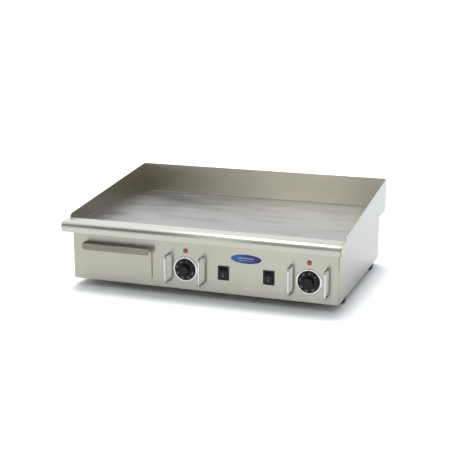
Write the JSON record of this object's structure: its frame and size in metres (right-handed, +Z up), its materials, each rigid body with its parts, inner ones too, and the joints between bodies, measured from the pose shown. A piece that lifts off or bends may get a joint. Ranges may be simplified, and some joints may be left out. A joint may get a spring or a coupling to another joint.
{
  "type": "flat top griddle",
  "caption": "Countertop electric griddle: flat steel plate inside a three-sided splash guard, rolled nose, control panel with knobs, switches and a grease drawer.",
  "frame": {"origin": "middle of the footprint on the worktop", "axes": "+X to the right along the control panel, +Y to the rear, +Z up; the control panel faces -Y"},
  "size_m": [0.73, 0.5164, 0.24],
  "materials": {
    "plate_steel": "ground, lightly smudged",
    "guard_steel": "brushed, satin",
    "casing_steel": "brushed, satin",
    "inner_steel": "mill finish",
    "fastener_steel": "bright zinc",
    "guard_chrome": "polished",
    "bezel_chrome": "satin chrome",
    "foot_rubber": "matt",
    "knob_plastic": "satin black",
    "switch_plastic": "satin black",
    "lamp_plastic": "clear orange-red",
    "badge_enamel": "glossy, blue fading to violet",
    "thermostat_metal": "zinc plated",
    "capillary_copper": "bare copper",
    "element_sheath": "oxidised",
    "insulation_wool": "ceramic fibre",
    "inner_plastic": "matt off-white",
    "gland_plastic": "matt black"
  },
  "bodies": {
    "griddle_body": {"badge": "badge_enamel", "base_plate": "inner_steel", "base_screws": "fastener_steel", "cable_gland": "gland_plastic", "capillary_left": "capillary_copper", "capillary_right": "capillary_copper", "clamp_bars": "inner_steel", "drain_spout": "inner_steel", "drawer_rail_left": "inner_steel", "drawer_rail_right": "inner_steel", "foot_front_left": "foot_rubber", "foot_front_right": "foot_rubber", "foot_nuts": "fastener_steel", "foot_rear_left": "foot_rubber", "foot_rear_right": "foot_rubber", "foot_screws": "fastener_steel", "front_casing": "casing_steel", "front_nose": "guard_steel", "gland_nut": "gland_plastic", "grease_gutter": "inner_steel", "griddle_plate": "plate_steel", "guard_nuts": "fastener_steel", "heat_shield": "inner_steel", "heating_element_left": "element_sheath", "heating_element_right": "element_sheath", "insulation_pad": "insulation_wool", "knob_bezel_left": "bezel_chrome", "knob_bezel_right": "bezel_chrome", "knob_guard_1": "guard_chrome", "knob_guard_2": "guard_chrome", "knob_guard_3": "guard_chrome", "knob_guard_4": "guard_chrome", "lamp_bodies": "inner_plastic", "lamp_lens_left": "lamp_plastic", "lamp_lens_right": "lamp_plastic", "lamp_rings": "inner_plastic", "plate_studs": "fastener_steel", "rear_casing": "casing_steel", "seam_straps": "inner_steel", "sensor_bulb_left": "capillary_copper", "sensor_bulb_right": "capillary_copper", "sensor_pockets": "inner_steel", "splash_back": "guard_steel", "splash_left": "guard_steel", "splash_right": "guard_steel", "stud_nuts": "fastener_steel", "switch_frame_left": "switch_plastic", "switch_frame_right": "switch_plastic", "terminal_block": "inner_plastic", "thermostat_left": "thermostat_metal", "thermostat_right": "thermostat_metal", "thermostat_screws": "fastener_steel"},
    "knob_left": {"knob_left": "knob_plastic", "spindle_left": "fastener_steel"},
    "knob_right": {"knob_right": "knob_plastic", "spindle_right": "fastener_steel"},
    "rocker_left": {"rocker_left": "switch_plastic"},
    "rocker_right": {"rocker_right": "switch_plastic"},
    "grease_drawer": {"drawer_front": "casing_steel", "drawer_tray": "inner_steel"}
  },
  "joints": [
    {"name": "knob_left_turn", "type": "hinge", "parent": "griddle_body", "child": "knob_left", "pos_m": [-0.0399, -0.22975, 0.072], "axis": [0, 1, 0], "range_deg": [-13, 249]},
    {"name": "knob_right_turn", "type": "hinge", "parent": "griddle_body", "child": "knob_right", "pos_m": [0.2791, -0.22975, 0.072], "axis": [0, 1, 0], "range_deg": [-50, 212]},
    {"name": "rocker_left_tilt", "type": "hinge", "parent": "griddle_body", "child": "rocker_left", "pos_m": [0.061, -0.21675, 0.072], "axis": [1, 0, 0], "range_deg": [0, 14]},
    {"name": "rocker_right_tilt", "type": "hinge", "parent": "griddle_body", "child": "rocker_right", "pos_m": [0.1782, -0.21675, 0.072], "axis": [1, 0, 0], "range_deg": [0, 14]},
    {"name": "drawer_slide", "type": "slide", "parent": "griddle_body", "child": "grease_drawer", "axis": [0, -1, 0], "range_m": [0, 0.25]}
  ]
}
